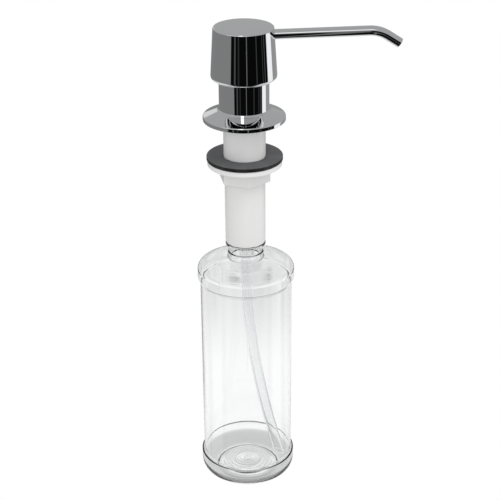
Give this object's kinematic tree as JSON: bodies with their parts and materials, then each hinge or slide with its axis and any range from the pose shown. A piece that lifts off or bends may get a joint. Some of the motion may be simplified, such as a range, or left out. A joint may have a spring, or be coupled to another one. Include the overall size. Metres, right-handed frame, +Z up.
{
  "type": "deck mounted soap dispenser",
  "caption": "Deck mounted soap dispenser: chrome push head with a long bent spout on a flange, a threaded shank with nut and washer, and a clear bottle hanging below the counter.",
  "frame": {"origin": "on the shank's centre line at the underside of the flange, where it rests on the counter", "axes": "+Z up out of the counter along the centre line, +X along the spout at rest"},
  "size_m": [0.1307, 0.0642, 0.3206],
  "materials": {
    "polished_chrome": "polished chrome plate",
    "white_plastic": "smooth white moulded plastic",
    "pump_plastic": "natural white moulded plastic",
    "black_rubber": "matt black rubber",
    "clear_plastic": "clear blown plastic",
    "frosted_tube": "translucent extruded tube",
    "spring_steel": "drawn stainless wire",
    "ball_steel": "ground stainless ball"
  },
  "bodies": {
    "mount": {"escutcheon": "polished_chrome", "shank": "white_plastic"},
    "washer": {"rubber_washer": "black_rubber"},
    "nut": {"mounting_nut": "white_plastic"},
    "seal": {"neck_seal": "black_rubber"},
    "bottle": {"bottle": "clear_plastic"},
    "pump_insert": {"pump_plug": "pump_plastic", "plug_o_ring": "black_rubber", "guide_bush": "pump_plastic", "stem_wiper": "black_rubber", "pump_cylinder": "pump_plastic", "ball_cage": "pump_plastic", "return_spring": "spring_steel", "dip_tube": "frosted_tube"},
    "inlet_ball": {"inlet_ball": "ball_steel"},
    "plunger": {"stem": "pump_plastic", "piston": "pump_plastic", "piston_retainer": "pump_plastic"},
    "outlet_ball": {"outlet_ball": "ball_steel"},
    "head": {"head_cap": "polished_chrome", "head_core": "pump_plastic", "spout_o_ring": "black_rubber", "spout": "polished_chrome"}
  },
  "joints": [
    {"name": "nut_travel", "type": "slide", "parent": "mount", "child": "washer", "axis": [0, 0, 1], "range_m": [-0.04, 0.02]},
    {"name": "nut_turn", "type": "hinge", "parent": "washer", "child": "nut", "pos_m": [0, 0, -0.03], "axis": [0, 0, 1], "range_deg": [-4801, 2401]},
    {"name": "bottle_travel", "type": "slide", "parent": "mount", "child": "seal", "axis": [0, 0, 1], "range_m": [-0.012, 0]},
    {"name": "bottle_turn", "type": "hinge", "parent": "seal", "child": "bottle", "pos_m": [0, 0, -0.09], "axis": [0, 0, 1], "range_deg": [-1441, 0]},
    {"name": "pump_lift", "type": "slide", "parent": "mount", "child": "pump_insert", "axis": [0, 0, 1], "range_m": [0, 0.29], "deforming": ["dip_tube"]},
    {"name": "pump_press", "type": "slide", "parent": "pump_insert", "child": "plunger", "axis": [0, 0, 1], "range_m": [-0.013, 0], "stiffness_N_per_m": 500, "springref_m": 0.01, "deforming": ["return_spring"]},
    {"name": "head_swivel", "type": "hinge", "parent": "plunger", "child": "head", "pos_m": [0, 0, 0.047], "axis": [0, 0, 1], "continuous": true},
    {"name": "inlet_ball_lift", "type": "slide", "parent": "pump_insert", "child": "inlet_ball", "axis": [0, 0, 1], "range_m": [0, 0.0015]},
    {"name": "outlet_ball_lift", "type": "slide", "parent": "plunger", "child": "outlet_ball", "axis": [0, 0, 1], "range_m": [0, 0.0015]}
  ],
  "couplings": [
    {"joint": "nut_turn", "follows": "nut_travel", "rad_per_m": 2094.4},
    {"joint": "bottle_turn", "follows": "bottle_travel", "rad_per_m": 2094.4}
  ]
}
